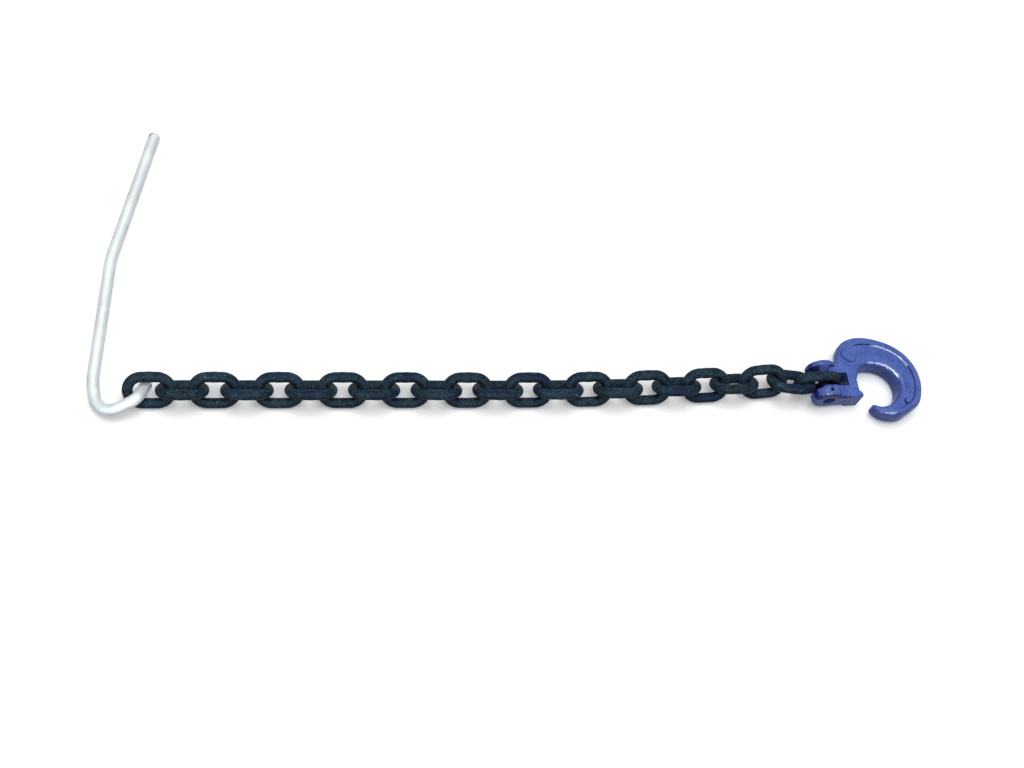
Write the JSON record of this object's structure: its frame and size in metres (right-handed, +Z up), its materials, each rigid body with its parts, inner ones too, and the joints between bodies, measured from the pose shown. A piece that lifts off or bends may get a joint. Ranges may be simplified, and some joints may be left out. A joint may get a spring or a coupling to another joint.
{
  "type": "logging choker chain",
  "caption": "Logging choker chain: short round-steel links, a bent steel needle at one end and a forged choker hook with a clevis and load pin at the other.",
  "frame": {"origin": "middle of the chain's box on the floor, as it lies laid out", "axes": "+X along the chain from the needle to the hook, +Y away from the viewer to the side the needle points, +Z up"},
  "size_m": [0.6564, 0.2584, 0.0289],
  "materials": {
    "zinc": "galvanised, dull pale grey",
    "link_steel": "blue-black tempered scale, half matt",
    "blue_paint": "glossy enamel over a forging",
    "spring_steel": "plain spring steel"
  },
  "bodies": {
    "hook": {"hook_body": "blue_paint", "load_pin": "link_steel", "spring_pin": "spring_steel"},
    "link_23": {"link_23": "link_steel"},
    "link_22": {"link_22": "link_steel"},
    "link_21": {"link_21": "link_steel"},
    "link_20": {"link_20": "link_steel"},
    "link_19": {"link_19": "link_steel"},
    "link_18": {"link_18": "link_steel"},
    "link_17": {"link_17": "link_steel"},
    "link_16": {"link_16": "link_steel"},
    "link_15": {"link_15": "link_steel"},
    "link_14": {"link_14": "link_steel"},
    "link_13": {"link_13": "link_steel"},
    "link_12": {"link_12": "link_steel"},
    "link_11": {"link_11": "link_steel"},
    "link_10": {"link_10": "link_steel"},
    "link_09": {"link_09": "link_steel"},
    "link_08": {"link_08": "link_steel"},
    "link_07": {"link_07": "link_steel"},
    "link_06": {"link_06": "link_steel"},
    "link_05": {"link_05": "link_steel"},
    "link_04": {"link_04": "link_steel"},
    "link_03": {"link_03": "link_steel"},
    "link_02": {"link_02": "link_steel"},
    "link_01": {"link_01": "link_steel"},
    "needle": {"needle": "zinc"}
  },
  "joints": [
    {"name": "hook_on_link", "type": "hinge", "parent": "hook", "child": "link_23", "pos_m": [0.24684, -0.09899, 0.01378], "axis": [0.0698, -0.9976, 0], "range_deg": [-90, 60]},
    {"name": "link_22_on_link_23", "type": "hinge", "parent": "link_23", "child": "link_22", "pos_m": [0.22466, -0.09984, 0.01438], "axis": [0.0371, 0.5299, 0.8472], "range_deg": [-15, 60]},
    {"name": "link_21_on_link_22", "type": "hinge", "parent": "link_22", "child": "link_21", "pos_m": [0.20289, -0.09579, 0.01321], "axis": [-0.1409, -0.8366, 0.5294], "range_deg": [-90, 90]},
    {"name": "link_20_on_link_21", "type": "hinge", "parent": "link_21", "child": "link_20", "pos_m": [0.1798, -0.09821, 0.011], "axis": [-0.1089, 0.6476, 0.7541], "range_deg": [-90, 90]},
    {"name": "link_19_on_link_20", "type": "hinge", "parent": "link_20", "child": "link_19", "pos_m": [0.15595, -0.09958, 0.01135], "axis": [-0.0436, 0.7419, -0.6691], "range_deg": [-90, 90]},
    {"name": "link_18_on_link_19", "type": "hinge", "parent": "link_19", "child": "link_18", "pos_m": [0.1321, -0.10078, 0.01135], "axis": [0.0363, -0.7062, -0.7071], "range_deg": [-90, 90]},
    {"name": "link_17_on_link_18", "type": "hinge", "parent": "link_18", "child": "link_17", "pos_m": [0.10824, -0.1018, 0.01135], "axis": [0.0311, -0.7064, 0.7071], "range_deg": [-90, 90]},
    {"name": "link_16_on_link_17", "type": "hinge", "parent": "link_17", "child": "link_16", "pos_m": [0.08437, -0.10264, 0.01135], "axis": [-0.0259, 0.7066, 0.7071], "range_deg": [-90, 90]},
    {"name": "link_15_on_link_16", "type": "hinge", "parent": "link_16", "child": "link_15", "pos_m": [0.0605, -0.10331, 0.01135], "axis": [-0.0207, 0.7068, -0.7071], "range_deg": [-90, 90]},
    {"name": "link_14_on_link_15", "type": "hinge", "parent": "link_15", "child": "link_14", "pos_m": [0.03663, -0.10381, 0.01135], "axis": [0.0155, -0.7069, -0.7071], "range_deg": [-90, 90]},
    {"name": "link_13_on_link_14", "type": "hinge", "parent": "link_14", "child": "link_13", "pos_m": [0.01275, -0.10413, 0.01135], "axis": [0.0104, -0.707, 0.7071], "range_deg": [-90, 90]},
    {"name": "link_12_on_link_13", "type": "hinge", "parent": "link_13", "child": "link_12", "pos_m": [-0.01113, -0.10427, 0.01135], "axis": [-0.0052, 0.7071, 0.7071], "range_deg": [-90, 90]},
    {"name": "link_11_on_link_12", "type": "hinge", "parent": "link_12", "child": "link_11", "pos_m": [-0.03501, -0.10425, 0.01135], "axis": [0, 0.7071, -0.7071], "range_deg": [-90, 90]},
    {"name": "link_10_on_link_11", "type": "hinge", "parent": "link_11", "child": "link_10", "pos_m": [-0.05889, -0.10425, 0.01135], "axis": [0, -0.7071, -0.7071], "range_deg": [-90, 90]},
    {"name": "link_09_on_link_10", "type": "hinge", "parent": "link_10", "child": "link_09", "pos_m": [-0.08277, -0.10425, 0.01135], "axis": [0, -0.7071, 0.7071], "range_deg": [-90, 90]},
    {"name": "link_08_on_link_09", "type": "hinge", "parent": "link_09", "child": "link_08", "pos_m": [-0.10665, -0.10425, 0.01135], "axis": [0, 0.7071, 0.7071], "range_deg": [-90, 90]},
    {"name": "link_07_on_link_08", "type": "hinge", "parent": "link_08", "child": "link_07", "pos_m": [-0.13053, -0.10425, 0.01135], "axis": [0, 0.7071, -0.7071], "range_deg": [-90, 90]},
    {"name": "link_06_on_link_07", "type": "hinge", "parent": "link_07", "child": "link_06", "pos_m": [-0.15441, -0.10425, 0.01135], "axis": [0, -0.7071, -0.7071], "range_deg": [-90, 90]},
    {"name": "link_05_on_link_06", "type": "hinge", "parent": "link_06", "child": "link_05", "pos_m": [-0.17829, -0.10425, 0.01135], "axis": [0, -0.7071, 0.7071], "range_deg": [-90, 90]},
    {"name": "link_04_on_link_05", "type": "hinge", "parent": "link_05", "child": "link_04", "pos_m": [-0.20217, -0.10425, 0.01135], "axis": [0, 0.7071, 0.7071], "range_deg": [-90, 90]},
    {"name": "link_03_on_link_04", "type": "hinge", "parent": "link_04", "child": "link_03", "pos_m": [-0.22605, -0.10425, 0.01135], "axis": [0, 0.7071, -0.7071], "range_deg": [-90, 90]},
    {"name": "link_02_on_link_03", "type": "hinge", "parent": "link_03", "child": "link_02", "pos_m": [-0.24993, -0.10425, 0.01135], "axis": [0, -0.7071, -0.7071], "range_deg": [-90, 90]},
    {"name": "link_01_on_link_02", "type": "hinge", "parent": "link_02", "child": "link_01", "pos_m": [-0.27381, -0.10425, 0.01135], "axis": [0, -0.7071, 0.7071], "range_deg": [-90, 90]},
    {"name": "needle_in_link", "type": "hinge", "parent": "link_01", "child": "needle", "pos_m": [-0.2963, -0.10792, 0.00768], "axis": [0.5, -0.6124, -0.6124], "range_deg": [-110, 0]}
  ]
}
